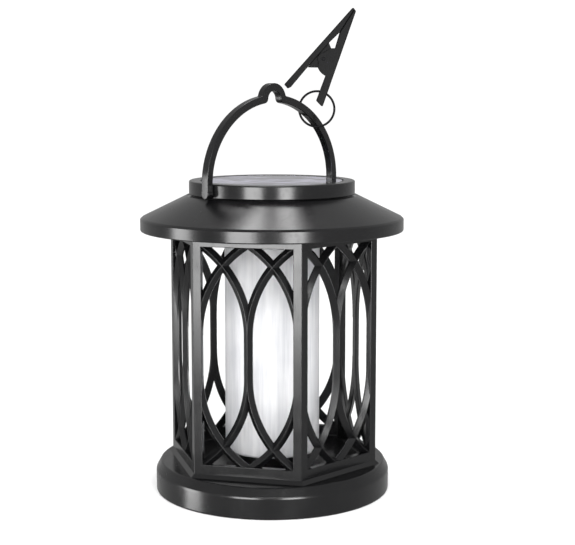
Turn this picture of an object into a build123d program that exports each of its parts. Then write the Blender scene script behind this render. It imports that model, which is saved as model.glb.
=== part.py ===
from build123d import *
import os
from math import atan2, cos, degrees, radians, sin, sqrt, tan

# Hanging solar lantern, in millimetres. The origin is the centre of the base's underside,
# +Z is up, and the carrying handle swings about the X direction.
# The cage is a hexagon: one corner points along +X, and one flat face looks along -Y.

# ---- driving dimensions ----
roof_radius = 65.0
base_radius = 58.5
base_band_top = 10.5           # top of the straight band round the base
deck_height = 15.0             # top of the base's deck
deck_radius = 56.0
base_wall = 2.4
cover_thickness = 2.0
plinth_top = 16.7              # the cage stands here
plinth_spread = 2.6            # how far the plinth flares out past the cage corners

cage_radius = 53.0             # centre to corner
cage_top = 132.0
panel_depth = 3.0
post_width = 4.15
bottom_rail_top = 21.4
top_rail_bottom = 126.3
miter_gap = 0.03

lattice_pitch = 24.4           # from the centre bar to the middle of a post
lattice_radius = 51.0          # of the arcs' centre lines
lattice_middle = 73.9          # the lattice is the same above and below this height
straight_half = 10.6           # half the length of the straight centre bar
bar_width = 4.3
ridge_depth = 2.2              # a bar's crest stands this far in front of its edges
crest_inset = 0.05             # how far a crest lies behind the panel's face

tube_radius = 23.6
tube_wall = 1.6
tube_bottom = 19.7
tube_flange_radius = 26.0

ceiling_radius = 54.5
ceiling_thickness = 2.0

roof_bottom = 130.5
roof_wall = 2.0
rim_top = 136.2
cone_foot = (64.0, 137.1)      # radius and height where the cone starts
cone_slope = 26.0              # degrees
cone_end_radius = 42.3
ledge_height = 147.3           # flat ledge that the cap stands on
collar_radius = 37.0
collar_wall = 2.2
collar_bottom = 141.2

cap_radius = 40.9
cap_bottom = 148.0
cap_top = 155.0
cap_edge_round = 0.8
cap_foot = (37.6, 39.4)        # inner and outer radius of the ring that the cap stands on
skirt_radius = 36.5
skirt_wall = 1.6
skirt_bottom = 136.5
web = (151.4, 152.4)           # bottom and top of the floor under the solar panel
wire_hole_radius = 3.0
panel_recess_radius = 35.2
panel_radius = 34.8

lug_count = 3
lug_reach = 2.0
lug_height = 2.2
lug_angle = 14.0               # degrees of arc of one lug
twist_angle = 25.0             # degrees of turn that frees the cap

pivot_height = 150.6
peg_radius = 1.6
peg_clearance = 0.05
handle_inner = 41.3            # half the gap between the legs
handle_thickness = 3.7
handle_width = 4.2
handle_rise = 37.9             # height of the inner half ellipse
handle_foot_radius = 2.4
hump_radius = 8.0
hump_height = 194.3            # centre of the hump's arcs
hump_round = 1.6
handle_bevel = 0.35

ring_centre = (29.2, -2.75, 189.3)
ring_radius = 8.85
wire_radius = 0.6
ring_view = 45.0               # degrees from +X to the ring's axis

clip_depth = 7.0
clip_gap = 0.1                 # between the closed jaws
lever_round = 0.6
lever_bevel = 0.3
pin_radius = 0.9
spring_wire = 0.28

screw_radius = 1.25
screw_head_radius = 2.4
screw_head_height = 1.3
screw_slot_depth = 0.6

near = 0.01                    # tolerance when an edge is looked up

# ---- values worked out from them ----
apothem = cage_radius * cos(radians(30))
cone_fall = tan(radians(cone_slope))
skirt_inside = skirt_radius - skirt_wall
plate_thickness = 1.7
plate_top = skirt_bottom + plate_thickness
board_bottom = 141.0
board_thickness = 1.2
switch_at = (0.0, -30.0)
handle_outer = handle_inner + handle_thickness

os.makedirs("parts", exist_ok=True)


def save(name, shape):
    if isinstance(shape, (list, ShapeList)):
        shape = Compound(children=list(shape))
    export_step(shape, f"parts/{name}.step")


def cone_height(radius):
    # height of the roof's outer cone at a radius
    return cone_foot[1] + (cone_foot[0] - radius) * cone_fall


def turned(*outline):
    # solid of revolution about Z from (radius, height) points
    return revolve(make_face(Plane.XZ * Polyline(*outline, close=True)), Axis.Z)


def circle_edges(shape, radius, height):
    found = shape.edges().filter_by(GeomType.CIRCLE)
    return [e for e in found
            if abs(e.radius - radius) < near and abs(e.arc_center.Z - height) < near]


def disc(radius, bottom, top):
    return Pos(0, 0, bottom) * Cylinder(radius, top - bottom, align=(Align.CENTER, Align.CENTER, Align.MIN))


def post(x, y, radius, bottom, top):
    return Pos(x, y, 0) * disc(radius, bottom, top)


def block(low, high):
    size = [b - a for a, b in zip(low, high)]
    return Pos(*low) * Box(*size, align=(Align.MIN, Align.MIN, Align.MIN))


def around(radius, angles):
    # points on a circle
    return [(radius * cos(radians(a)), radius * sin(radians(a))) for a in angles]


def hexagon(radius, height):
    return Plane.XY.offset(height) * RegularPolygon(radius, 6)


def sector(inner, outer, middle, spread, bottom, top):
    # part of a ring, centred on an angle in degrees
    wedge_reach = 2 * outer
    wedge = Polygon((0, 0), *around(wedge_reach, (middle - spread / 2, middle + spread / 2)), align=None)
    ring = Circle(outer) - Circle(inner)
    return extrude(Plane.XY.offset(bottom) * (ring & wedge), top - bottom, dir=(0, 0, 1))


def screw(x, y, seat, tip):
    # pan-head screw that points up; the flat side of its head is at the height seat
    head_face = seat - screw_head_height
    head = post(x, y, screw_head_radius, head_face, seat)
    cross = [block((x - a, y - b, head_face), (x + a, y + b, head_face + screw_slot_depth))
             for a, b in ((1.5, 0.3), (0.3, 1.5))]
    return head - cross + post(x, y, screw_radius, seat, tip)


# ---- base: a turned shell with a hexagonal flared plinth ----
base_screw_angles = (45, 135, 225, 315)
base_screw_circle = 44.0
cover_screws_at = around(base_screw_circle, base_screw_angles)


def make_base():
    shell = turned((base_radius - base_wall, 0), (base_radius, 0), (base_radius, base_band_top),
                   (deck_radius, deck_height), (0, deck_height), (0, deck_height - base_wall),
                   (base_radius - base_wall, deck_height - base_wall - 1.2))
    shell = fillet(circle_edges(shell, base_radius, base_band_top), 3.0)
    shell = fillet(circle_edges(shell, base_radius, 0), 1.0)
    shell = fillet(circle_edges(shell, deck_radius, deck_height), 1.2)
    flare = loft([hexagon(cage_radius + plinth_spread, deck_height - 0.5), hexagon(cage_radius, plinth_top)])
    opening = extrude(hexagon(cage_radius - 4.5, deck_height), plinth_top)
    shell += flare - opening
    for x, y in cover_screws_at:
        shell += post(x, y, 3.5, cover_thickness, deck_height - base_wall)
        shell -= post(x, y, screw_radius + near, cover_thickness - 1, cover_thickness + 8)
    return shell


def make_bottom_cover():
    cover = disc(base_radius - base_wall - 0.3, 0, cover_thickness)
    for x, y in cover_screws_at:
        cover -= post(x, y, screw_radius + 0.2, 0, cover_thickness)
        cover -= post(x, y, screw_head_radius + 0.3, 0, screw_head_height + 0.2)
    return cover


save("base_shell", make_base())
save("bottom_cover", make_bottom_cover())
save("base_screws", [screw(x, y, screw_head_height + 0.2, 8.0) for x, y in cover_screws_at])


# ---- cage: six flat lattice panels with mitred sides ----
def ridge_section(x):
    # a bar's cross-section at the height 0: a crest towards the face, flat at the back
    face = -apothem
    half = bar_width / 2
    return make_face(Polyline((x, face + crest_inset), (x + half, face + ridge_depth),
                              (x + half, face + panel_depth), (x - half, face + panel_depth),
                              (x - half, face + ridge_depth), close=True))


def lattice_arc(start, way):
    # leaves the line x = start straight up, and curves towards +x or -x (way = 1 or -1)
    height = lattice_middle + straight_half
    sweep = degrees(atan2(top_rail_bottom + 2 - height, lattice_radius * 0.55))
    axle = Axis((start + way * lattice_radius, 0, height), (0, way, 0))
    return revolve(Pos(0, 0, height) * ridge_section(start), axle, revolution_arc=sweep)


def make_panel():
    half = cage_radius / 2
    frame = block((-half, -apothem, plinth_top), (half, -apothem + panel_depth, cage_top))
    frame -= block((-half + post_width, -apothem - 1, bottom_rail_top),
                   (half - post_width, -apothem + panel_depth + 1, top_rail_bottom))
    arcs = [lattice_arc(0, 1), lattice_arc(0, -1),
            lattice_arc(lattice_pitch, -1), lattice_arc(-lattice_pitch, 1)]
    arcs += [mirror(a, about=Plane.XY.offset(lattice_middle)) for a in arcs]
    bar = extrude(Pos(0, 0, lattice_middle - straight_half) * ridge_section(0), 2 * straight_half)
    wedge = Polygon((0, -miter_gap), (half, -apothem - miter_gap), (-half, -apothem - miter_gap), align=None)
    room = extrude(Plane.XY.offset(plinth_top) * wedge, cage_top - plinth_top, dir=(0, 0, 1))
    return (frame + bar + arcs) & room


panel = make_panel()
for number in range(6):
    save(f"cage_panel_{number + 1}", Rot(0, 0, 60 * number) * panel)


# ---- diffuser: a frosted cup that hangs from the ceiling by its flange ----
def make_diffuser():
    ceiling_top = cage_top + ceiling_thickness
    flange_top = ceiling_top + 1.5
    cup = turned((0, tube_bottom), (tube_radius, tube_bottom), (tube_radius, ceiling_top),
                 (tube_flange_radius, ceiling_top), (tube_flange_radius, flange_top),
                 (tube_radius - tube_wall, flange_top), (tube_radius - tube_wall, tube_bottom + tube_wall),
                 (0, tube_bottom + tube_wall))
    return fillet(circle_edges(cup, tube_radius, tube_bottom), 1.4)


ceiling_screws_at = around(43.0, (0, 120, 240))


def make_ceiling():
    plate = disc(ceiling_radius, cage_top, cage_top + ceiling_thickness)
    plate -= disc(tube_radius + 0.2, cage_top, cage_top + ceiling_thickness)
    for x, y in ceiling_screws_at:
        plate -= post(x, y, screw_radius + 0.2, cage_top, cage_top + ceiling_thickness)
    return plate


save("diffuser_tube", make_diffuser())
save("roof_ceiling", make_ceiling())
save("ceiling_screws", [screw(x, y, cage_top, cage_top + 9.0) for x, y in ceiling_screws_at])


# ---- roof: a conical shell with a slotted collar for the cap's lugs ----
lug_middles = [90 + 360 / lug_count * n for n in range(lug_count)]


def make_roof():
    inner_flat = ledge_height - roof_wall - 0.1
    inner_fall = roof_wall / cos(radians(cone_slope))
    knee = cone_foot[0] - (inner_flat + inner_fall - cone_foot[1]) / cone_fall
    rim_inside = roof_radius - roof_wall
    shell = turned((roof_radius, roof_bottom), (roof_radius, rim_top), cone_foot,
                   (cone_end_radius, cone_height(cone_end_radius)), (cone_end_radius - 0.3, ledge_height),
                   (collar_radius, ledge_height), (collar_radius, collar_bottom),
                   (collar_radius + collar_wall, collar_bottom), (collar_radius + collar_wall, inner_flat),
                   (knee, inner_flat), (rim_inside, cone_height(rim_inside) - inner_fall),
                   (rim_inside, roof_bottom))
    shell = fillet(circle_edges(shell, roof_radius, rim_top), 0.7)
    shell = fillet(circle_edges(shell, roof_radius, roof_bottom), 0.6)
    for x, y in ceiling_screws_at:
        shell += post(x, y, 3.0, cage_top + ceiling_thickness, inner_flat)
        shell -= post(x, y, screw_radius + near, cage_top, cage_top + 9.5)
    for middle in lug_middles:
        shell -= sector(collar_radius - 1, skirt_radius + lug_reach + 0.3, middle + twist_angle,
                        lug_angle + 2, collar_bottom - 1, ledge_height + 1)
    return shell


save("roof_shell", make_roof())


# ---- solar cap: the drum with its skirt, lugs and handle sockets ----
plate_screws_at = around(30.5, (0, 180, 238, 302))


def make_cap():
    drum = turned((cap_foot[0], cap_bottom), (cap_foot[0], ledge_height + 0.05),
                  (cap_foot[1], ledge_height + 0.05), (cap_foot[1], cap_bottom), (cap_radius, cap_bottom),
                  (cap_radius, cap_top), (panel_recess_radius, cap_top), (panel_recess_radius, web[1]),
                  (0, web[1]), (0, web[0]), (skirt_inside, web[0]), (skirt_inside, skirt_bottom),
                  (skirt_radius, skirt_bottom), (skirt_radius, cap_bottom))
    drum = fillet(circle_edges(drum, cap_radius, cap_top) + circle_edges(drum, cap_radius, cap_bottom),
                  cap_edge_round)
    for middle in lug_middles:
        drum += sector(skirt_radius - 0.5, skirt_radius + lug_reach, middle, lug_angle,
                       collar_bottom - 0.2 - lug_height, collar_bottom - 0.2)
    for x, y in plate_screws_at:
        drum += post(x, y, 2.8, plate_top, web[0])
        drum -= post(x, y, screw_radius + near, plate_top, plate_top + 7)
    socket = Pos(0, 0, pivot_height) * Rot(0, 90, 0) * Cylinder(peg_radius + peg_clearance, 3 * cap_radius)
    keep = block((-cap_radius + 3.0, -5, pivot_height - 5), (cap_radius - 3.0, 5, pivot_height + 5))
    drum -= socket - keep
    return drum - post(0, 0, wire_hole_radius, *web)


def make_lamp_plate():
    plate = disc(skirt_inside - 0.15, skirt_bottom, plate_top)
    for x, y in led_places:
        plate -= post(x, y, led_radius + 0.3, skirt_bottom, plate_top)
    for x, y in plate_screws_at:
        plate -= post(x, y, screw_radius + 0.2, skirt_bottom, plate_top)
    x, y = switch_at
    plate -= block((x - 2.6, y - 1.2, skirt_bottom), (x + 2.6, y + 1.2, plate_top))
    for x in (-12.0, 12.0):
        plate += post(x, -12.0, 1.8, plate_top, board_bottom)
    return plate


led_radius = 2.5
led_places = around(7.0, (45, 135, 225, 315))


def make_led(x, y):
    dome_height = board_bottom - 7.0 + led_radius
    collar = post(x, y, led_radius + 0.25, board_bottom - 1.0, board_bottom)
    dome = Pos(x, y, dome_height) * Sphere(led_radius)
    return post(x, y, led_radius, dome_height, board_bottom) + dome + collar


save("cap_housing", make_cap())
save("lamp_plate", make_lamp_plate())
save("lamp_plate_screws", [screw(x, y, skirt_bottom, plate_top + 6.0) for x, y in plate_screws_at])
save("circuit_board", block((-15, -14, board_bottom), (15, 10, board_bottom + board_thickness)))
save("leds", [make_led(x, y) for x, y in led_places])


# ---- solar panel: seal, backing board, cell strips and clear cover ----
seal_top = web[1] + 0.6
backing_top = seal_top + 0.9
cell_top = backing_top + 0.25
cover_top = cap_top - 0.15
cell_pitch = 6.6
cell_gap = 0.5
cell_field_radius = 32.0


def make_cells():
    strips = []
    for row in range(-4, 5):
        middle = row * cell_pitch
        edge = abs(middle) + (cell_pitch - cell_gap) / 2
        half = sqrt(cell_field_radius ** 2 - edge ** 2)
        strips.append(block((-half, middle - (cell_pitch - cell_gap) / 2, backing_top),
                            (half, middle + (cell_pitch - cell_gap) / 2, cell_top)))
    return strips


def make_cover_sheet():
    sheet = disc(panel_radius, cell_top, cover_top)
    return fillet(circle_edges(sheet, panel_radius, cover_top), 0.3)


save("panel_seal", disc(panel_radius, web[1], seal_top) - disc(panel_radius - 2.5, web[1], seal_top))
save("panel_backing", disc(panel_radius, seal_top, backing_top))
save("solar_cells", make_cells())
save("panel_cover", make_cover_sheet())


# ---- battery, its holder and its contacts ----
cell_radius = 5.25
cell_length = 42.0
battery_y = 18.0
battery_z = plate_top + 1.2 + cell_radius
holder_half = 24.0


def make_battery():
    body = Rot(0, 90, 0) * Cylinder(cell_radius, cell_length)
    nub = Pos(cell_length / 2 + 0.4, 0, 0) * Rot(0, 90, 0) * Cylinder(1.9, 0.8)
    return Pos(0, battery_y, battery_z) * (fillet(body.edges().filter_by(GeomType.CIRCLE), 0.4) + nub)


def make_holder():
    low = battery_y - cell_radius - 1.1
    high = battery_y + cell_radius + 1.1
    tray = block((-holder_half, low, plate_top), (holder_half, high, battery_z + 1.0))
    return tray - block((-holder_half + 1, low + 0.9, plate_top + 1.0),
                        (holder_half - 1, high - 0.9, battery_z + 2.0))


def contact_coil(n):
    # one turn of the conical spring at the battery's flat end
    place = Pos(-cell_length / 2 - 0.45 - 0.55 * n, battery_y, battery_z)
    return place * Rot(0, 90, 0) * Torus(3.2 - 0.5 * n, 0.22)


contact_low = battery_z - 4.0
save("battery", make_battery())
save("battery_holder", make_holder())
save("battery_plate", block((22.4, battery_y - 3, contact_low), (22.8, battery_y + 3, battery_z + 3)))
save("battery_spring", [contact_coil(n) for n in range(3)])


# ---- slide switch and wires ----
travel = 2.0
knob_half = 0.9
switch_top = plate_top + 4.2


def make_switch_body():
    x, y = switch_at
    body = block((x - 4.5, y - 2.0, plate_top), (x + 4.5, y + 2.0, switch_top))
    return body - block((x - 2.4, y - 1.1, plate_top), (x + 2.4, y + 1.1, switch_top - 1.2))


def make_slider():
    x = switch_at[0] - travel / 2
    y = switch_at[1]
    return block((x - knob_half, y - 0.8, skirt_bottom - 1.2), (x + knob_half, y + 0.8, switch_top - 1.5))


save("switch_body", make_switch_body())
save("switch_slider", make_slider())
for name, x in (("wire_red", -1.0), ("wire_black", 1.0)):
    save(name, post(x, 0, 0.6, board_bottom + board_thickness, seal_top))


# ---- handle: a half ellipse with a hook hump and two moulded pegs ----
def make_handle():
    leg_middle = handle_inner + handle_thickness / 2
    rise = Pos(0, cap_top)
    upper = Pos(0, cap_top) * Rectangle(4 * handle_outer, 4 * handle_outer, align=(Align.CENTER, Align.MIN))
    outer = (rise * Ellipse(handle_outer, handle_rise + handle_thickness)) & upper
    inner = (rise * Ellipse(handle_inner, handle_rise)) & upper
    hump_inside = hump_radius - handle_thickness
    band = outer + Pos(0, hump_height) * Circle(hump_radius)
    band -= inner
    band -= Pos(0, hump_height) * Circle(hump_inside)
    band -= Pos(0, hump_height) * Rectangle(2 * hump_inside, 20, align=(Align.CENTER, Align.MAX))
    corners = [v for v in band.vertices() if abs(v.X) > 3 and abs(v.X) < 10 and v.Y > cap_top]
    band = fillet(corners, hump_round)
    leg = Rectangle(handle_thickness, cap_top - pivot_height)
    for way in (-1, 1):
        band += Pos(way * leg_middle, (pivot_height + cap_top) / 2) * leg
    bar = extrude(Plane.XZ * band, handle_width / 2, both=True)
    crests = [e for e in bar.edges() if abs(abs(e.center().Y) - handle_width / 2) < near
              and e.center().Z > pivot_height + 1]
    bar = chamfer(crests, handle_bevel)
    for way in (-1, 1):
        foot = Pos(way * leg_middle, 0, pivot_height) * Rot(0, 90, 0)
        bar += foot * Cylinder(handle_foot_radius, handle_thickness)
        peg = Pos(way * (handle_inner - 1.1), 0, pivot_height) * Rot(0, 90, 0)
        bar += peg * Cylinder(peg_radius, 2.4)
    return bar


save("handle", make_handle())

# ---- hanging ring and spring clip, both drawn in the ring's plane ----
# in that plane x runs right and y up, the origin is the ring's centre, and z points to the viewer
view_x = (sin(radians(ring_view)), -cos(radians(ring_view)), 0)
view_z = (-cos(radians(ring_view)), -sin(radians(ring_view)), 0)
clip_plane = Plane(origin=ring_centre, x_dir=view_x, z_dir=view_z)

eye_angle = 69.2                # degrees round the ring to the lever's eye
eye_radius = 1.1
pivot = (3.2, 24.9)
jaw_meet = (11.3, 37.9)
jaw_tip = (18.55, 49.3)
ear_corner = (0.55, 20.6)


def slab(outline, low, high):
    # a prism of the clip's plane between two depths
    return extrude(Plane.XY.offset(low) * outline, high - low, dir=(0, 0, 1))


def ears(outline, low, high):
    return slab(outline, low, high) + slab(outline, -high, -low)


def rounded_ends(outline):
    # rounds the corners at a lever's free end and the outer corner at its tip
    corners = [v for v in outline.vertices() if v.Y < 13 or v.Y > 48]
    return fillet([v for v in corners if (v.X, v.Y) != jaw_tip], lever_round)


def boss(radius):
    return Pos(*pivot) * Circle(radius)


def make_fixed_lever():
    bar = Polygon((2.7, 0.9), (19.2, 48.2), jaw_tip, jaw_meet, (9.0, 30.2), (4.1, 16.1), (-0.35, 4.1),
                  align=None)
    bar = Pos(clip_gap / 2, 0) * rounded_ends(bar)
    lug = make_face([Line((9.6, 30.2), (5.0, 16.2)), ThreePointArc((5.0, 16.2), (2.2, 18.0), ear_corner),
                     Line(ear_corner, (1.5, 26.6)), Line((1.5, 26.6), (7.05, 30.1)),
                     Line((7.05, 30.1), (9.6, 30.2))])
    lever = slab(bar, -clip_depth / 2, clip_depth / 2)
    lever = chamfer(lever.edges().filter_by(Axis.Z, reverse=True), lever_bevel)
    lever += ears(lug + boss(2.8), 2.25, clip_depth / 2)
    lever -= slab(boss(pin_radius + 0.02), -clip_depth, clip_depth)
    eye = around(ring_radius, (eye_angle,))[0]
    hole = Pos(eye[0], eye[1], 0) * Rot(0, 0, eye_angle - 90) * Rot(0, 90, 0) * Cylinder(eye_radius, 12)
    return lever - hole


def make_moving_lever():
    bar = Polygon((-16.4, 12.2), (17.9, 50.3), jaw_tip, jaw_meet, (5.7, 32.5), (-4.2, 21.3), (-13.0, 10.9),
                  (-14.6, 10.2), align=None)
    bar = Pos(-clip_gap / 2, 0) * rounded_ends(bar)
    lug = make_face([Line((5.8, 33.2), (-4.6, 20.7)), ThreePointArc((-4.6, 20.7), (-2.2, 20.6), ear_corner),
                     Line(ear_corner, (8.0, 27.8)), Line((8.0, 27.8), (5.8, 33.2))])
    lever = slab(bar, -clip_depth / 2, clip_depth / 2)
    lever = chamfer(lever.edges().filter_by(Axis.Z, reverse=True), lever_bevel)
    lever += ears(lug + boss(3.2), 1.0, 2.1)
    return lever - slab(boss(pin_radius + 0.05), -clip_depth, clip_depth)


def make_clip_pin():
    proud = 0.1
    pin = slab(boss(pin_radius), -clip_depth / 2 - proud, clip_depth / 2 + proud)
    return chamfer(pin.edges().filter_by(GeomType.CIRCLE), 0.15)


def make_clip_spring():
    coil_radius = pin_radius + spring_wire + 0.1
    return [Pos(*pivot, z) * Torus(coil_radius, spring_wire) for z in (-0.57, 0, 0.57)]


save("hanging_ring", clip_plane * Torus(ring_radius, wire_radius))
save("clip_fixed_lever", clip_plane * make_fixed_lever())
save("clip_moving_lever", clip_plane * make_moving_lever())
save("clip_pin", clip_plane * make_clip_pin())
save("clip_spring", [clip_plane * turn for turn in make_clip_spring()])
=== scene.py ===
import math

import bmesh
import bpy
import numpy as np
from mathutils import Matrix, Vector


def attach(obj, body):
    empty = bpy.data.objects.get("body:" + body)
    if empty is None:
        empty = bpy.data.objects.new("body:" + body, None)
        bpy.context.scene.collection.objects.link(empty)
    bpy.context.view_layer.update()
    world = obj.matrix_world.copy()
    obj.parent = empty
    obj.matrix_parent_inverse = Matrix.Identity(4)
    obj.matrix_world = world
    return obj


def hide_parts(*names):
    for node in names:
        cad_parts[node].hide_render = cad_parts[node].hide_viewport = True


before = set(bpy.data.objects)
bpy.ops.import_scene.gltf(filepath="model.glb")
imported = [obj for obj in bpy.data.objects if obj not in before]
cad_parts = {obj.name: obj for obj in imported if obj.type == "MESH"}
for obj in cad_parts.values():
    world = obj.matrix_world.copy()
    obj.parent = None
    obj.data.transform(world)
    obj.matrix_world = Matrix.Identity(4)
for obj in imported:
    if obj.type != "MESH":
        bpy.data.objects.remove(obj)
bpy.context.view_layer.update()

# Solar garden lantern: a hexagonal lattice cage, a frosted tube, a conical roof and a solar cap.
# Sizes below are millimetres unless a note says otherwise; meshes are made in metres.
mm = 0.001
cos30 = math.cos(math.radians(30))
tan30 = math.tan(math.radians(30))
mergeReach, sliverReach = 2e-6, 1e-7   # metres: points closer than these become one point, or go


def linear(hexColour):
    # sRGB hex value to the linear colour the shaders want
    parts = [int(hexColour[i:i + 2], 16) / 255 for i in (1, 3, 5)]
    return tuple(c / 12.92 if c <= 0.04045 else ((c + 0.055) / 1.055) ** 2.4 for c in parts) + (1.0,)


def addNode(tree, kind, values=None, wires=None, **settings):
    # one shader node with its settings, its sockets' values and what its sockets are wired to
    node = tree.nodes.new("ShaderNode" + kind)
    for key, value in settings.items():
        setattr(node, key, value)
    for key, value in (values or {}).items():
        node.inputs[key].default_value = value
    for key, source in (wires or {}).items():
        tree.links.new(source, node.inputs[key])
    return node


def perMetre(size):
    # texture scale that makes a feature this many millimetres across
    return 1.0 / (size * mm)


def gridFaces(rows, columns, closeRows, closeColumns):
    # quads between neighbouring points of a grid; a closed direction meets its own first line
    r = np.arange(rows if closeRows else rows - 1)
    c = np.arange(columns if closeColumns else columns - 1)
    r, c = np.meshgrid(r, c, indexing="ij")
    rn, cn = (r + 1) % rows, (c + 1) % columns
    quads = np.stack([r * columns + c, rn * columns + c, rn * columns + cn, r * columns + cn], axis=-1)
    return quads.reshape(-1, 4)


def makePiece(name, surfaces, material, body, nodes=(), sharp=35.0):
    # joins surfaces into one mesh, each (points in mm, closeRows, closeColumns, capped);
    # a cap is one face over the first and one over the last row
    places, faces, offset = [], [], 0
    for points, closeRows, closeColumns, capped in surfaces:
        rows, columns = points.shape[:2]
        places.append(points.reshape(-1, 3))
        faces += (gridFaces(rows, columns, closeRows, closeColumns) + offset).tolist()
        if capped:
            faces.append((np.arange(columns)[::-1] + offset).tolist())
            faces.append((np.arange(columns) + offset + (rows - 1) * columns).tolist())
        offset += rows * columns
    mesh = bpy.data.meshes.new(name)
    mesh.from_pydata((np.concatenate(places) * mm).tolist(), [], faces)
    work = bmesh.new()
    work.from_mesh(mesh)
    bmesh.ops.remove_doubles(work, verts=work.verts, dist=mergeReach)
    bmesh.ops.dissolve_degenerate(work, edges=work.edges, dist=sliverReach)
    bmesh.ops.recalc_face_normals(work, faces=work.faces)
    work.to_mesh(mesh)
    work.free()
    mesh.polygons.foreach_set("use_smooth", np.ones(len(mesh.polygons), dtype=bool))
    mesh.set_sharp_from_angle(angle=math.radians(sharp))
    mesh.materials.append(material)
    piece = bpy.data.objects.new(name, mesh)
    bpy.context.scene.collection.objects.link(piece)
    weighted = piece.modifiers.new("even shading", "WEIGHTED_NORMAL")
    weighted.keep_sharp = True
    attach(piece, body)
    if nodes:
        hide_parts(*nodes)
    print(name, len(mesh.polygons), "faces")
    return piece


def roundedOutline(corners, radii, steps=6):
    # every corner gives way to an arc of its radius that touches both of its sides:
    # the arc turns evenly from one touching point to the other about the arc's centre
    corner = np.asarray(corners, float)
    radius = np.asarray(radii, float)[:, None]
    back = np.roll(corner, 1, axis=0) - corner
    ahead = np.roll(corner, -1, axis=0) - corner
    back /= np.linalg.norm(back, axis=1, keepdims=True)
    ahead /= np.linalg.norm(ahead, axis=1, keepdims=True)
    half = 0.5 * np.arccos(np.clip((back * ahead).sum(axis=1), -1, 1))[:, None]
    middle = (back + ahead) / np.maximum(np.linalg.norm(back + ahead, axis=1, keepdims=True), 1e-9)
    centre = corner + middle * radius / np.sin(half)
    first = corner + back * radius / np.tan(half) - centre
    last = corner + ahead * radius / np.tan(half) - centre
    turn = (np.pi - 2 * half)[:, None]
    t = np.linspace(0, 1, steps)[None, :, None]
    swing = (np.sin((1 - t) * turn) * first[:, None] + np.sin(t * turn) * last[:, None]) / np.sin(turn)
    return (centre[:, None] + swing).reshape(-1, corner.shape[1])


def turned(corners, radii, steps=6, segments=192, closed=False):
    # surface of revolution: a rounded (radius, height) outline carried round the Z axis
    outline = roundedOutline(corners, radii, steps)
    angle = np.linspace(0, 2 * np.pi, segments, endpoint=False)
    x = outline[:, 0, None] * np.cos(angle)
    y = outline[:, 0, None] * np.sin(angle)
    z = np.repeat(outline[:, 1, None], segments, axis=1)
    return np.stack([x, y, z], axis=-1), closed, True, False


def aboutZ(points, degrees):
    # turns points about the Z axis
    c, s = math.cos(math.radians(degrees)), math.sin(math.radians(degrees))
    return points @ np.array([[c, s, 0], [-s, c, 0], [0, 0, 1]])


# lens and sensor in millimetres, place in metres; pitch and heading in degrees
camera = dict(lens=87.1, sensor=36, place=(-0.4849, -0.4849, 0.2046), pitch=7.949, heading=-45.64)

lens = bpy.data.cameras.new("camera")
lens.lens = camera["lens"]
lens.sensor_width = camera["sensor"]
lens.dof.use_dof = False
view = bpy.data.objects.new("camera", lens)
view.location = camera["place"]
view.rotation_euler = [math.radians(90 - camera["pitch"]), 0, math.radians(camera["heading"])]
bpy.context.scene.collection.objects.link(view)
bpy.context.scene.camera = view
bpy.context.scene.view_settings.view_transform = "Standard"   # plain contrast, white stays white

studio = dict(floorReach=30.0, sky="#ffffff", skyStrength=1.08, flagStrength=0.45)   # reach in metres

# lights: angle to the right of the camera's side, height angle, height of the point aimed at,
# distance, width and height in metres, and the radiance of their faces; past 90 degrees is behind
# the lantern; sheen lights only make reflections, and the fill only brightens matt surfaces
commonLight = dict(tilt=0, aim=0.11, reach=0.8, tint="#ffffff", sheen=True)
lights = {
    "left strip": dict(angle=-25, width=0.33, height=0.34, glow=12.0),
    "right strip": dict(angle=18.5, width=0.24, height=0.34, glow=14.0),
    "far left strip": dict(angle=-81, aim=-0.03, reach=0.9, width=0.3, height=0.52, glow=9.0),
    "roof left": dict(angle=-169.5, tilt=60, aim=0.14, reach=1.1, width=0.11, height=0.6, glow=7.0),
    "roof right": dict(angle=171.5, tilt=60, aim=0.14, reach=1.1, width=0.09, height=0.6, glow=7.0),
    "edge line": dict(angle=5, tilt=25, aim=0.1, reach=1.2, width=0.9, height=0.04, glow=16.0),
    "panel band": dict(angle=180, aim=0.2285, reach=1.0, width=0.9, height=0.0045, glow=0.6,
                       tint="#dedaf4"),
    "front fill": dict(angle=5, tilt=25, aim=0.1, reach=1.6, width=1.2, height=1.2, glow=7.0,
                       sheen=False),
}


def addLight(name, light):
    # a flat light that faces a point on the lantern's axis: its direction turns by its angle from
    # the camera's side towards the right, then rises by its tilt
    light = {**commonLight, **light}
    diagonal = 0.7071
    toCamera, toRight = Vector((-diagonal, -diagonal, 0)), Vector((diagonal, -diagonal, 0))
    turn, rise = math.radians(light["angle"]), math.radians(light["tilt"])
    level = toCamera * math.cos(turn) + toRight * math.sin(turn)
    target = Vector((0, 0, light["aim"]))
    out = level * math.cos(rise) + Vector((0, 0, 1)) * math.sin(rise)
    lamp = bpy.data.lights.new(name, "AREA")
    lamp.shape = "RECTANGLE"
    lamp.color = linear(light["tint"])[:3]
    lamp.size, lamp.size_y = light["width"], light["height"]
    lamp.energy = light["glow"] * math.pi * light["width"] * light["height"]
    holder = bpy.data.objects.new(name, lamp)
    holder.location = target + out * light["reach"]
    holder.rotation_euler = (-out).to_track_quat("-Z", "Y").to_euler()
    holder.visible_diffuse = not light["sheen"]
    holder.visible_glossy = light["sheen"]
    holder.visible_camera = False
    bpy.context.scene.collection.objects.link(holder)


for name, light in lights.items():
    addLight(name, light)

world = bpy.data.worlds.new("white room")
bpy.context.scene.world = world
world.use_nodes = True
world.node_tree.nodes.clear()
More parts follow.
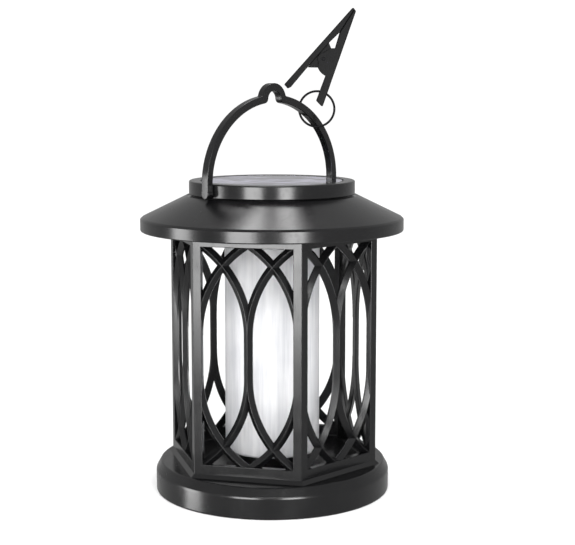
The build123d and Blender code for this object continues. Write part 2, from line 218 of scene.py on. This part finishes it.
# reflections see a dimmer room than the eye does, as with dark flags round a white table
ray = addNode(world.node_tree, "LightPath")
strength = addNode(world.node_tree, "MapRange",
                   {"To Min": studio["skyStrength"], "To Max": studio["flagStrength"]},
                   {"Value": ray.outputs["Is Glossy Ray"]})
room = addNode(world.node_tree, "Background", {"Color": linear(studio["sky"])},
               {"Strength": strength.outputs[0]})
addNode(world.node_tree, "OutputWorld", wires={"Surface": room.outputs[0]})
print("camera and lights ready")


mixA, mixB, mixed = 6, 7, 2   # a colour Mix node's two inputs and its result
levelA, levelB = 2, 3   # a number Mix node's two inputs
midNoise = {"From Min": 0.3, "From Max": 0.7}   # most of a noise texture lies between these
scuffNoise = {"From Min": 0.56, "From Max": 0.72}   # only its peaks pass these
scuffLay = {"Rotation": (0.5, 0.3, 0.9), "Scale": (1.0, 7.0, 1.6)}   # radians; long thin marks, askew


def newMaterial(name):
    # an empty node tree and the object coordinates that every pattern here starts from
    material = bpy.data.materials.new(name)
    material.use_nodes = True
    tree = material.node_tree
    tree.nodes.clear()
    return material, tree, addNode(tree, "TexCoord").outputs["Object"]


def finishMaterial(tree, look, wires):
    # the shader itself; what is the same all over is set on its own sockets
    shader = addNode(tree, "BsdfPrincipled", look, wires)
    addNode(tree, "OutputMaterial", wires={"Surface": shader.outputs[0]})


def moulded(name, look, shader):
    # a moulded surface: slow drifts of colour and gloss from uneven cooling, the tool's spark grain
    # as bump, and a few handling scuffs that only change the gloss; the real grain is about
    # 0.05 mm, drawn some ten times as coarse so that it shows
    material, tree, place = newMaterial(name)
    drift = addNode(tree, "TexNoise", {"Scale": perMetre(look["drift"]), "Detail": 3.0},
                    {"Vector": place})
    grain = addNode(tree, "TexNoise", {"Scale": perMetre(look["grain"]), "Detail": 2.0},
                    {"Vector": place})
    lay = addNode(tree, "Mapping", scuffLay, {"Vector": place})
    scuff = addNode(tree, "TexNoise", {"Scale": perMetre(look["scuff"]), "Detail": 5.0},
                    {"Vector": lay.outputs[0]})
    marks = addNode(tree, "MapRange", {**scuffNoise, "To Max": look["scuffGloss"]},
                    {"Value": scuff.outputs[0]})
    colour = addNode(tree, "Mix", {mixA: linear(look["dark"]), mixB: linear(look["light"])},
                     {0: drift.outputs[0]}, data_type="RGBA")
    gloss = addNode(tree, "MapRange", {**midNoise, "To Min": look["smooth"], "To Max": look["rough"]},
                    {"Value": drift.outputs[0]})
    both = addNode(tree, "Math", wires={0: gloss.outputs[0], 1: marks.outputs[0]}, operation="ADD")
    bump = addNode(tree, "Bump", {"Strength": look["bump"], "Distance": look["depth"] * mm},
                   {"Height": grain.outputs[0]})
    finishMaterial(tree, shader, {"Base Color": colour.outputs[mixed], "Roughness": both.outputs[0],
                                  "Normal": bump.outputs[0]})
    return material


# injection-moulded ABS, charcoal and semi-gloss: near black with broad soft reflections
charcoalAbs = moulded("charcoal moulded ABS",
                      dict(dark="#0a0a0b", light="#0f0f10", drift=14, grain=0.5, scuff=9, scuffGloss=0.05,
                           smooth=0.18, rough=0.24, bump=0.25, depth=0.012),
                      {"IOR": 1.5, "Specular IOR Level": 0.5})
# the clip is glass-filled nylon with a spark finish: duller and a touch darker than the body
blackNylon = moulded("black moulded nylon",
                     dict(dark="#080809", light="#0d0d0e", drift=6, grain=0.35, scuff=4, scuffGloss=0.1,
                          smooth=0.4, rough=0.5, bump=0.15, depth=0.01),
                     {"IOR": 1.5, "Specular IOR Level": 0.12})
# white ABS of the inside parts: bright, even, a little gloss
whiteAbs = moulded("white moulded ABS",
                   dict(dark="#dcdcd8", light="#e9e9e6", drift=10, grain=0.4, scuff=6, scuffGloss=0.08,
                        smooth=0.34, rough=0.44, bump=0.3, depth=0.01),
                   {"IOR": 1.53})
# EPDM foam seal: matt black rubber with fine pores
sealRubber = moulded("EPDM foam rubber",
                     dict(dark="#121212", light="#1b1b1b", drift=3, grain=0.3, scuff=3, scuffGloss=0.05,
                          smooth=0.8, rough=0.9, bump=0.7, depth=0.04),
                     {"IOR": 1.48})
# PVC-shrink sleeve of the battery: smooth green film
batterySleeve = moulded("green PVC sleeve",
                        dict(dark="#1f7a46", light="#27914f", drift=8, grain=0.6, scuff=5, scuffGloss=0.06,
                             smooth=0.22, rough=0.3, bump=0.2, depth=0.01),
                        {"IOR": 1.53})
# extruded PVC of the two wires: soft, even colour with a dull shine
redPvc = moulded("red PVC insulation",
                 dict(dark="#a31616", light="#c02020", drift=3, grain=0.3, scuff=2, scuffGloss=0.05,
                      smooth=0.35, rough=0.45, bump=0.2, depth=0.01), {"IOR": 1.53})
blackPvc = moulded("black PVC insulation",
                   dict(dark="#151515", light="#222222", drift=3, grain=0.3, scuff=2, scuffGloss=0.05,
                        smooth=0.35, rough=0.45, bump=0.2, depth=0.01), {"IOR": 1.53})
# cast epoxy lens of the LEDs: milky, warm white and glossy
ledEpoxy = moulded("diffused LED epoxy",
                   dict(dark="#efe9d2", light="#f8f4e6", drift=2, grain=0.4, scuff=2, scuffGloss=0.03,
                        smooth=0.08, rough=0.14, bump=0.1, depth=0.005),
                   {"IOR": 1.55, "Transmission Weight": 0.35})


def drawnMetal(name, look, shader):
    # metal with the fine lines of its drawing or rolling: noise stretched along one direction
    # moves the gloss and the bump, and a slower noise is the tarnish in its colour; real lines are
    # under 0.1 mm, drawn a few times as coarse so that they show
    material, tree, place = newMaterial(name)
    lay = addNode(tree, "Mapping", {"Scale": look["stretch"]}, {"Vector": place})
    lines = addNode(tree, "TexNoise", {"Scale": perMetre(look["line"]), "Detail": 4.0},
                    {"Vector": lay.outputs[0]})
    tarnish = addNode(tree, "TexNoise", {"Scale": perMetre(look["tarnish"]), "Detail": 4.0},
                      {"Vector": place})
    colour = addNode(tree, "Mix", {mixA: linear(look["dark"]), mixB: linear(look["light"])},
                     {0: tarnish.outputs[0]}, data_type="RGBA")
    gloss = addNode(tree, "MapRange", {**midNoise, "To Min": look["smooth"], "To Max": look["rough"]},
                    {"Value": lines.outputs[0]})
    bump = addNode(tree, "Bump", {"Strength": look["bump"], "Distance": look["depth"] * mm},
                   {"Height": lines.outputs[0]})
    finishMaterial(tree, shader, {"Base Color": colour.outputs[mixed], "Roughness": gloss.outputs[0],
                                  "Normal": bump.outputs[0]})
    return material


# black-oxide steel wire: nearly black, with a dull sheen and hardly any metal shine
ringSteel = drawnMetal("black oxide steel wire",
                       dict(dark="#08080a", light="#111113", stretch=(1, 1, 1), line=0.5, tarnish=3,
                            smooth=0.4, rough=0.55, bump=0.3, depth=0.006),
                       {"Metallic": 0.4, "Specular IOR Level": 0.15})
# zinc-plated steel screws: pale bluish metal
screwSteel = drawnMetal("zinc-plated steel",
                        dict(dark="#a7abb0", light="#c9cdd2", stretch=(1, 1, 6), line=0.3, tarnish=2,
                             smooth=0.25, rough=0.4, bump=0.3, depth=0.005), {"Metallic": 1.0})
# nickel-plated spring steel of the contacts: brighter and warmer
contactMetal = drawnMetal("nickel-plated spring steel",
                          dict(dark="#b5ad9f", light="#d8d2c6", stretch=(6, 1, 1), line=0.3, tarnish=2,
                               smooth=0.18, rough=0.3, bump=0.3, depth=0.004), {"Metallic": 1.0})


def frostedPlastic(look):
    # extruded PMMA frosted inside: fine upright streaks of painted shade, noise stretched twenty times
    # along Z, grey the white; a slow noise adds blotches of painted shade; a fine grain, drawn coarser
    # than real, roughens it
    material, tree, place = newMaterial("frosted extruded PMMA")
    lay = addNode(tree, "Mapping", {"Scale": (1.0, 1.0, look["stretch"])}, {"Vector": place})
    shadeStreak = addNode(tree, "TexNoise", {"Scale": perMetre(look["shadeStreak"]), "Detail": 4.0,
                                        "Roughness": 0.6}, {"Vector": lay.outputs[0]})
    shadeCloud = addNode(tree, "TexNoise", {"Scale": perMetre(look["shadeCloud"]), "Detail": 2.0},
                    {"Vector": place})
    blend = addNode(tree, "Mix", {0: look["shadeCloudShare"]},
                    {levelA: shadeStreak.outputs[0], levelB: shadeCloud.outputs[0]}, data_type="FLOAT")
    depth = addNode(tree, "MapRange", {"From Min": look["faint"], "From Max": look["full"]},
                    {"Value": blend.outputs[0]})
    # painted shade: the streak and blotch mask greys the tube's white towards the dark colour
    colour = addNode(tree, "Mix", {mixA: linear(look["dark"]), mixB: linear(look["light"])},
                     {0: depth.outputs[0]}, data_type="RGBA")
    grain = addNode(tree, "TexNoise", {"Scale": perMetre(look["grain"]), "Detail": 1.0},
                    {"Vector": place})
    gloss = addNode(tree, "MapRange", {"To Min": look["smooth"], "To Max": look["rough"]},
                    {"Value": depth.outputs[0]})
    bump = addNode(tree, "Bump", {"Strength": look["bump"], "Distance": look["depth"] * mm},
                   {"Height": grain.outputs[0]})
    finishMaterial(tree, {"IOR": 1.49, "Transmission Weight": look["through"]},
                   {"Base Color": colour.outputs[mixed], "Roughness": gloss.outputs[0],
                    "Normal": bump.outputs[0]})
    return material


# faint and full are the noise values where the white starts and where it is whole; below faint the painted
# shade is at its darkest
frosted = frostedPlastic(dict(dark="#d2d3d7", light="#fafafb", shadeStreak=3.6, stretch=0.05, shadeCloud=26,
                              shadeCloudShare=0.35, faint=0.36, full=0.62, grain=0.4, bump=0.3, depth=0.01,
                              smooth=0.32, rough=0.5, through=0.3))


def clearCover(look):
    # clear polycarbonate over the cells: nearly colourless, polished, with a faint moulding ripple
    material, tree, place = newMaterial("clear polycarbonate sheet")
    ripple = addNode(tree, "TexNoise", {"Scale": perMetre(look["ripple"]), "Detail": 1.0},
                     {"Vector": place})
    tint = addNode(tree, "Mix", {mixA: linear(look["dark"]), mixB: linear(look["light"])},
                   {0: ripple.outputs[0]}, data_type="RGBA")
    gloss = addNode(tree, "MapRange", {"To Min": look["smooth"], "To Max": look["rough"]},
                    {"Value": ripple.outputs[0]})
    bump = addNode(tree, "Bump", {"Strength": look["bump"], "Distance": look["depth"] * mm},
                   {"Height": ripple.outputs[0]})
    finishMaterial(tree, {"IOR": 1.5, "Specular IOR Level": 0.5, "Transmission Weight": 1.0},
                   {"Base Color": tint.outputs[mixed], "Roughness": gloss.outputs[0],
                    "Normal": bump.outputs[0]})
    return material


coverClear = clearCover(dict(dark="#c9c6de", light="#dddbee", ripple=18, smooth=0.02, rough=0.06,
                             bump=0.4, depth=0.15))


def siliconCells(look):
    # polycrystalline silicon: angular blue crystals (Voronoi cells) crossed by silver collector lines,
    # a saw wave along X whose highest part is the line
    material, tree, place = newMaterial("polycrystalline silicon")
    crystal = addNode(tree, "TexVoronoi", {"Scale": perMetre(look["crystal"])}, {"Vector": place})
    tone = addNode(tree, "SeparateColor", wires={0: crystal.outputs["Color"]})
    blue = addNode(tree, "Mix", {mixA: linear(look["dark"]), mixB: linear(look["light"])},
                   {0: tone.outputs[0]}, data_type="RGBA")
    # a wave's period is pi / 10 divided by its scale
    wave = addNode(tree, "TexWave", {"Scale": math.pi / 10 / (look["pitch"] * mm)}, {"Vector": place},
                   bands_direction="X", wave_profile="SAW")
    share = look["line"] / look["pitch"]
    line = addNode(tree, "Math", {1: 1 - share}, {0: wave.outputs["Fac"]}, operation="GREATER_THAN")
    colour = addNode(tree, "Mix", {mixB: linear(look["silver"])},
                     {0: line.outputs[0], mixA: blue.outputs[mixed]}, data_type="RGBA")
    metal = addNode(tree, "Math", {1: look["lineMetal"]}, {0: line.outputs[0]}, operation="MULTIPLY")
    gloss = addNode(tree, "MapRange", {"To Min": look["smooth"], "To Max": look["rough"]},
                    {"Value": tone.outputs[1]})
    finishMaterial(tree, {"IOR": 1.9},
                   {"Base Color": colour.outputs[mixed], "Metallic": metal.outputs[0],
                    "Roughness": gloss.outputs[0]})
    return material


cellSilicon = siliconCells(dict(dark="#15163a", light="#282a5e", silver="#b9bcc8", crystal=2.2,
                                pitch=2.0, line=0.14, lineMetal=0.7, smooth=0.22, rough=0.4))


def circuitLaminate(look):
    # FR4 board with green solder mask: raised tracks, a brick pattern, lie under the lacquer
    material, tree, place = newMaterial("green solder mask")
    light, dark = linear(look["light"]), linear(look["dark"])
    tracks = addNode(tree, "TexBrick", {"Scale": perMetre(look["track"]), "Mortar Size": look["gap"],
                                        "Color1": light, "Color2": light, "Mortar": dark},
                     {"Vector": place})
    weave = addNode(tree, "TexNoise", {"Scale": perMetre(look["weave"]), "Detail": 2.0},
                    {"Vector": place})
    gloss = addNode(tree, "MapRange", {"To Min": look["smooth"], "To Max": look["rough"]},
                    {"Value": weave.outputs[0]})
    bump = addNode(tree, "Bump", {"Strength": look["bump"], "Distance": look["depth"] * mm},
                   {"Height": tracks.outputs["Fac"]})
    finishMaterial(tree, {"IOR": 1.55},
                   {"Base Color": tracks.outputs["Color"], "Roughness": gloss.outputs[0],
                    "Normal": bump.outputs[0]})
    return material


solderMask = circuitLaminate(dict(light="#1c6b3c", dark="#0f4527", track=3.0, gap=0.08, weave=0.6,
                                  smooth=0.25, rough=0.4, bump=0.5, depth=0.035))


def backdropPaper(look):
    # paper backdrop: matt and near white, with a faint fibre grain
    material, tree, place = newMaterial("matt white paper")
    fibre = addNode(tree, "TexNoise", {"Scale": perMetre(look["fibre"]), "Detail": 2.0},
                    {"Vector": place})
    tone = addNode(tree, "Mix", {mixA: linear(look["dark"]), mixB: linear(look["light"])},
                   {0: fibre.outputs[0]}, data_type="RGBA")
    finishMaterial(tree, {"Roughness": 0.9, "Specular IOR Level": 0.0},
                   {"Base Color": tone.outputs[mixed]})
    return material


whitePaper = backdropPaper(dict(dark="#f8f8f8", light="#fcfcfc", fibre=1.5))
print("materials ready")


def makeFloor(lines=9):
    # one flat sheet, a grid of x and y
    across = np.linspace(-studio["floorReach"], studio["floorReach"], lines)
    x, y = np.meshgrid(across, across, indexing="ij")
    points = np.stack([x, y, np.zeros_like(x)], axis=-1)
    mesh = bpy.data.meshes.new("floor")
    mesh.from_pydata(points.reshape(-1, 3).tolist(), [], gridFaces(lines, lines, False, False).tolist())
    mesh.materials.append(whitePaper)
    floor = bpy.data.objects.new("floor", mesh)
    bpy.context.scene.collection.objects.link(floor)
    floor.visible_glossy = False   # the gloss shows the lights, not the paper
    floor.visible_shadow = False


makeFloor()
print("floor ready")


base = dict(radius=58.5, bandTop=10.5, bandRound=3.0, deckRadius=56.0, deckTop=15.0, deckRound=1.2,
            wall=2.4, insideBevel=1.2, insideRound=0.4, footRound=1.0, plinthReach=55.6, plinthFoot=14.5,
            plinthTop=16.7, plinthEdge=(0.25, 0.2), cageReach=53.0, cageTuck=0.02, opening=48.5,
            openingEdge=0.3, cornerRound=0.5)


def hexagonRows(profile, cornerRound, steps=6):
    # each (corner radius, height) pair is one hexagonal loop with a corner towards +X;
    # a corner is an arc of cornerRound about a point inset along the corner's ray
    profile = np.asarray(profile, float)
    middle = np.radians(60 * np.arange(6))[:, None] + np.zeros((1, steps))
    angle = middle + np.radians(np.linspace(-30, 30, steps))[None]
    inset = ((profile[:, 0] * cos30 - cornerRound) / cos30)[:, None]
    x = inset * np.cos(middle).ravel() + cornerRound * np.cos(angle).ravel()
    y = inset * np.sin(middle).ravel() + cornerRound * np.sin(angle).ravel()
    z = np.repeat(profile[:, 1, None], x.shape[1], axis=1)
    return np.stack([x, y, z], axis=-1), True, True, False


def makeBase(b):
    # a turned shell, open below, and on its deck a plinth whose hexagon shrinks as it rises and then
    # goes down inside the cage's opening
    inner, under = b["radius"] - b["wall"], b["deckTop"] - b["wall"]
    bevel, inside = b["insideBevel"], b["insideRound"]
    corners = [(0, under), (inner - bevel, under), (inner, under - bevel), (inner, 0), (b["radius"], 0),
               (b["radius"], b["bandTop"]), (b["deckRadius"], b["deckTop"]), (0, b["deckTop"])]
    radii = [0, inside, inside, inside, b["footRound"], b["bandRound"], b["deckRound"], 0]
    out, down = b["plinthEdge"]
    rim = [(b["plinthReach"], b["plinthFoot"]), (b["cageReach"] + out, b["plinthTop"] - down),
           (b["cageReach"] - b["cageTuck"], b["plinthTop"]),
           (b["opening"] + b["openingEdge"], b["plinthTop"]),
           (b["opening"], b["plinthTop"] - b["openingEdge"]), (b["opening"], b["plinthFoot"])]
    makePiece("base_body", [turned(corners, radii, steps=8), hexagonRows(rim, b["cornerRound"])],
              charcoalAbs, "lantern", ["base_shell"])


makeBase(base)


# the lead and back steps keep the bars' starts and backs apart, so that no two share a point
cage = dict(apothem=53.0 * cos30, half=26.5, bottom=16.7, top=132.0, depth=3.0, postInside=22.35,
            railTop=21.4, railBottom=126.3, cornerRound=0.5, windowRound=0.3, barHalf=2.15, crest=0.05,
            shoulder=2.2, crestRound=0.22, shoulderRound=0.15, backGap=0.03, backStep=0.015, pitch=24.4,
            arcRadius=51.0, arcSweep=57.4, arcLead=0.4, arcLeadStep=0.05, arcPoints=30, middle=73.9,
            straightHalf=10.6, straightLap=0.2)


def panelPoints(u, depth, height, number, c):
    # puts (sideways, depth behind the face, height) on panel number 1 to 6
    points = np.stack(np.broadcast_arrays(u, depth - c["apothem"], height), axis=-1)
    return aboutZ(points, 60 * (number - 1))


def frameSurface(number, c):
    # a rectangle is carried through the frame's section: back, half of the cage's rounded corner,
    # face, rounded window edge and back again
    t = np.radians(np.linspace(30, 0, 4))
    cornerU = c["half"] - c["cornerRound"] * tan30 + c["cornerRound"] * np.sin(t)
    cornerDepth = c["cornerRound"] * (1 - np.cos(t))
    r = c["windowRound"]
    s = np.radians(np.linspace(0, 90, 5))
    inset = r * (1 - np.sin(s))
    edgeDepth = r * (1 - np.cos(s))
    backU = c["half"] - c["depth"] * tan30
    ends = np.ones(len(t))
    halfWide = np.concatenate([[backU], cornerU, c["postInside"] + inset, [c["postInside"]]])
    low = np.concatenate([[c["bottom"]], c["bottom"] * ends, c["railTop"] - inset, [c["railTop"]]])
    high = np.concatenate([[c["top"]], c["top"] * ends, c["railBottom"] + inset, [c["railBottom"]]])
    depth = np.concatenate([[c["depth"]], cornerDepth, edgeDepth, [c["depth"]]])
    u = np.stack([-halfWide, halfWide, halfWide, -halfWide], axis=1)
    z = np.stack([low, low, high, high], axis=1)
    return panelPoints(u, depth[:, None], z, number, c), True, True, False


def barSection(c, order):
    # roof-shaped section: crest, shoulders and a flat back; each back lies a hair before the last
    back = c["depth"] - c["backGap"] - c["backStep"] * order
    corners = [(0, c["crest"]), (c["barHalf"], c["shoulder"]), (c["barHalf"], back),
               (-c["barHalf"], back), (-c["barHalf"], c["shoulder"])]
    radii = [c["crestRound"], c["shoulderRound"], 0, 0, c["shoulderRound"]]
    return roundedOutline(corners, radii, steps=5)


def arcSurface(number, start, way, flip, order, c):
    # the section is carried along a circular arc that leaves the line u = start straight up
    section = barSection(c, order)
    first = -c["arcLead"] - c["arcLeadStep"] * order
    t = np.radians(np.linspace(first, c["arcSweep"], c["arcPoints"]))[:, None]
    reach = c["arcRadius"] - way * section[None, :, 0]
    u = start + way * (c["arcRadius"] - reach * np.cos(t))
    z = c["middle"] + c["straightHalf"] + reach * np.sin(t)
    if flip:
        z = 2 * c["middle"] - z
    return panelPoints(u, section[None, :, 1], z, number, c), False, True, True


def makeCage(c):
    # each side is its frame, eight arcs and one straight bar that joins the middle arcs
    for number in range(1, 7):
        surfaces = [frameSurface(number, c)]
        order = 0
        for start, way in ((0, 1), (0, -1), (c["pitch"], -1), (-c["pitch"], 1)):
            for flip in (False, True):
                surfaces.append(arcSurface(number, start, way, flip, order, c))
                order += 1
        section = barSection(c, order)
        z = c["middle"] + np.array([-1, 1])[:, None] * (c["straightHalf"] + c["straightLap"])
        bar = panelPoints(section[None, :, 0], section[None, :, 1], z, number, c)
        surfaces.append((bar, False, True, True))
        makePiece(f"cage_side_{number}", surfaces, charcoalAbs, "lantern",
                  [f"cage_panel_{number}"])


makeCage(cage)


# rounds, here and below, are the radii of the outline's corners in their order
tube = dict(radius=23.6, wall=1.6, bottom=19.7, flange=26.0, flangeFoot=134.0, flangeTop=135.5,
            rounds=(0, 1.4, 0.2, 0.2, 0.2, 0.3, 0.8, 0))


def makeTube(t):
    # a turned cup with a flange at its top
    inner = t["radius"] - t["wall"]
    corners = [(0, t["bottom"]), (t["radius"], t["bottom"]), (t["radius"], t["flangeFoot"]),
               (t["flange"], t["flangeFoot"]), (t["flange"], t["flangeTop"]), (inner, t["flangeTop"]),
               (inner, t["bottom"] + t["wall"]), (0, t["bottom"] + t["wall"])]
    makePiece("diffuser", [turned(corners, t["rounds"], steps=6, segments=160)], frosted, "lantern",
              ["diffuser_tube"])


makeTube(tube)


roof = dict(radius=65.0, bottom=130.5, rimTop=136.2, coneFoot=64.0, coneFootTop=137.1, slope=26.0,
            coneEnd=42.3, ledge=147.3, ledgeBevel=0.3, ledgeThin=0.1, collar=37.0, collarWall=2.2,
            collarBottom=141.2, wall=2.0,
            rounds=(0.6, 0.7, 0.35, 0.15, 0.1, 0.2, 0.2, 0.2, 0.2, 0.5, 0.5, 0.4))


def makeRoof(r):
    # a turned, closed outline: up the rim and the cone, over the ledge, round the collar, and back
    # down the inside one wall below; height falls with radius by the tangent of the slope
    fall = math.tan(math.radians(r["slope"]))
    drop = r["wall"] / math.cos(math.radians(r["slope"]))
    flat = r["ledge"] - r["wall"] - r["ledgeThin"]
    knee = r["coneFoot"] - (flat + drop - r["coneFootTop"]) / fall
    inside = r["radius"] - r["wall"]
    insideTop = r["coneFootTop"] + (r["coneFoot"] - inside) * fall - drop
    coneTop = r["coneFootTop"] + (r["coneFoot"] - r["coneEnd"]) * fall
    collarOut = r["collar"] + r["collarWall"]
    corners = [(r["radius"], r["bottom"]), (r["radius"], r["rimTop"]), (r["coneFoot"], r["coneFootTop"]),
               (r["coneEnd"], coneTop), (r["coneEnd"] - r["ledgeBevel"], r["ledge"]),
               (r["collar"], r["ledge"]), (r["collar"], r["collarBottom"]),
               (collarOut, r["collarBottom"]), (collarOut, flat), (knee, flat), (inside, insideTop),
               (inside, r["bottom"])]
    makePiece("roof_cone", [turned(corners, r["rounds"], steps=5, segments=256, closed=True)],
              charcoalAbs, "lantern", ["roof_shell"])


makeRoof(roof)


cap = dict(radius=40.9, bottom=148.0, top=155.0, foot=(37.6, 39.4), footBottom=147.35, skirt=36.5,
           skirtWall=1.6, skirtBottom=136.5, webBottom=151.4, webTop=152.4, recess=35.2,
           rounds=(0, 0.4, 0.3, 0.3, 0.2, 0.1, 0.1, 0.1, 0.1, 0.8, 0.8, 0.25, 0.1, 0))
panel = dict(radius=34.8, bottom=154.19, top=154.85, rounds=(0, 0.05, 0.3, 0))


def makeCap(c):
    # a turned outline: under the web, down and up the skirt, round the foot and the drum, and into
    # the panel's recess
    inner = c["skirt"] - c["skirtWall"]
    footIn, footOut = c["foot"]
    corners = [(0, c["webBottom"]), (inner, c["webBottom"]), (inner, c["skirtBottom"]),
               (c["skirt"], c["skirtBottom"]), (c["skirt"], c["bottom"]), (footIn, c["bottom"]),
               (footIn, c["footBottom"]), (footOut, c["footBottom"]), (footOut, c["bottom"]),
               (c["radius"], c["bottom"]), (c["radius"], c["top"]), (c["recess"], c["top"]),
               (c["recess"], c["webTop"]), (0, c["webTop"])]
    makePiece("cap_drum", [turned(corners, c["rounds"], steps=7, segments=256)], charcoalAbs,
              "solar_top", ["cap_housing"])


def makeCover(p):
    # a turned disc with a softened upper edge
    corners = [(0, p["bottom"]), (p["radius"], p["bottom"]), (p["radius"], p["top"]), (0, p["top"])]
    makePiece("solar_cover", [turned(corners, p["rounds"])], coverClear, "solar_top",
              ["panel_cover"])


makeCap(cap)
makeCover(panel)


handle = dict(inner=41.3, thickness=3.7, width=4.2, rise=37.9, base=155.0, pivot=150.6,
              footRadius=2.4, humpRadius=8.0, humpHeight=194.3, humpInside=4.3, innerRound=2.4,
              outerRound=0.8, edgeRound=0.45, pegRadius=1.6, pegReach=40.8, pegLap=0.3)
bowSteps, bendSteps, humpSteps, footSteps, pegSteps = 44, 9, 15, 14, 40


def bend(start, corner, stop, steps):
    # quadratic curve from start to stop that leans on the corner
    t = np.linspace(0, 1, steps)[:, None]
    return (1 - t) ** 2 * start + 2 * t * (1 - t) * corner + t ** 2 * stop


def edgeCurve(h, along, up, humpSide, corner, reach):
    # one edge of the bow from the leg to the top: an ellipse, a bend at the hump's foot, and an arc;
    # reach is how far the bend goes from its corner
    end = np.arccos(np.clip((corner[0] + reach) / along, -1, 1))
    t = np.linspace(0, end, bowSteps)
    bow = np.stack([along * np.cos(t), h["base"] + up * np.sin(t)], axis=1)
    rise = max(h["humpHeight"], corner[1] + reach)
    first = np.arcsin(np.clip((rise - h["humpHeight"]) / humpSide, 0, 1))
    a = np.linspace(first, np.pi / 2, humpSteps)
    arch = np.stack([humpSide * np.cos(a), h["humpHeight"] + humpSide * np.sin(a)], axis=1)
    return np.concatenate([bow, bend(bow[-1], np.array(corner), arch[0], bendSteps)[1:], arch[1:]])


def makeHandle(h):
    # the band lies between an inner and an outer edge curve in the XZ plane; a rounded rectangle,
    # scaled to the band's thickness and width at each station, is carried from foot to foot;
    # each foot is part of a circle about the pivot
    outerHalf, outerRise = h["inner"] + h["thickness"], h["rise"] + h["thickness"]
    # the hump meets the bow where the bow's edge first rises above the hump's circle
    x = np.linspace(h["humpRadius"] / 2, h["humpRadius"] * 1.25, 2001)
    gap = (h["base"] + outerRise * np.sqrt(1 - (x / outerHalf) ** 2)
           - h["humpHeight"] - np.sqrt(np.maximum(h["humpRadius"] ** 2 - x ** 2, 0)))
    meetX = x[np.argmax(gap > 0)]
    meetZ = h["base"] + outerRise * math.sqrt(1 - (meetX / outerHalf) ** 2)
    innerZ = h["base"] + h["rise"] * math.sqrt(1 - (h["humpInside"] / h["inner"]) ** 2)
    outer = edgeCurve(h, outerHalf, outerRise, h["humpRadius"], (meetX, meetZ), h["outerRound"])
    inner = edgeCurve(h, h["inner"], h["rise"], h["humpInside"], (h["humpInside"], innerZ),
                      h["innerRound"])
    halfWidth = h["width"] / 2
    turn = np.linspace(0, np.arccos(-math.sqrt(1 - (halfWidth / h["footRadius"]) ** 2)), footSteps)
    footZ = h["pivot"] - h["footRadius"] * np.cos(turn)
    leg = np.stack([np.full_like(footZ, 1.0), footZ], axis=1)
    outer = np.concatenate([leg * [outerHalf, 1], outer])
    inner = np.concatenate([leg * [h["inner"], 1], inner])
    wide = np.full(len(outer), halfWidth)
    wide[:len(turn)] = h["footRadius"] * np.sin(turn)
    outer = np.concatenate([outer, outer[-2::-1] * [-1, 1]])
    inner = np.concatenate([inner, inner[-2::-1] * [-1, 1]])
    wide = np.concatenate([wide, wide[-2::-1]])
    box = [(0, -halfWidth), (h["thickness"], -halfWidth), (h["thickness"], halfWidth), (0, halfWidth)]
    section = roundedOutline(box, [h["edgeRound"]] * 4, steps=5) / [h["thickness"], halfWidth]
    across = inner[:, None] + (outer - inner)[:, None] * section[None, :, 0, None]
    points = np.stack([across[..., 0], wide[:, None] * section[None, :, 1], across[..., 1]], axis=-1)
    surfaces = [(points, False, True, False)]
    angle = np.linspace(0, 2 * np.pi, pegSteps, endpoint=False)
    for way in (-1, 1):
        # peg: a short round bar along X between the leg and the drum
        along = way * np.array([h["inner"] + h["pegLap"], h["pegReach"]])
        peg = np.stack(np.broadcast_arrays(along[:, None], h["pegRadius"] * np.cos(angle),
                                           h["pivot"] + h["pegRadius"] * np.sin(angle)), axis=-1)
        surfaces.append((peg, False, True, True))
    makePiece("carry_handle", surfaces, charcoalAbs, "handle", ["handle"])


makeHandle(handle)


# the wire is a hair thinner than its solid, so that it clears the cap's edge when all is folded down
ring = dict(centre=(29.2, -2.75, 189.3), radius=8.85, wire=0.57, facing=45.0, ringPoints=128,
            wirePoints=16)


def makeRing(r):
    # a circle of wire carried round a circle in an upright plane that faces the given heading
    a = math.radians(r["facing"])
    side, up = np.array([math.sin(a), -math.cos(a), 0]), np.array([0, 0, 1.0])
    normal = np.cross(side, up)
    s = np.linspace(0, 2 * np.pi, r["ringPoints"], endpoint=False)[:, None, None]
    t = np.linspace(0, 2 * np.pi, r["wirePoints"], endpoint=False)[None, :, None]
    out = np.cos(s) * side + np.sin(s) * up
    points = (np.array(r["centre"]) + (r["radius"] + r["wire"] * np.cos(t)) * out
              + r["wire"] * np.sin(t) * normal)
    makePiece("wire_ring", [(points, True, True, False)], ringSteel, "ring",
              ["hanging_ring"])


makeRing(ring)


# the solids that keep their own shape get these finishes
finishes = {
    "bottom_cover": charcoalAbs, "roof_ceiling": charcoalAbs,
    "base_screws": screwSteel, "ceiling_screws": screwSteel, "lamp_plate_screws": screwSteel,
    "lamp_plate": whiteAbs, "battery_holder": whiteAbs, "switch_body": whiteAbs,
    "switch_slider": blackNylon,
    "circuit_board": solderMask, "panel_backing": solderMask, "panel_seal": sealRubber,
    "solar_cells": cellSilicon, "leds": ledEpoxy, "battery": batterySleeve,
    "battery_plate": contactMetal, "battery_spring": contactMetal, "clip_spring": contactMetal,
    "wire_red": redPvc, "wire_black": blackPvc,
    "clip_fixed_lever": blackNylon, "clip_moving_lever": blackNylon, "clip_pin": ringSteel,
}
for name, material in finishes.items():
    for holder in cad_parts[name].material_slots:
        holder.material = material
print("kept pieces finished:", len(finishes))
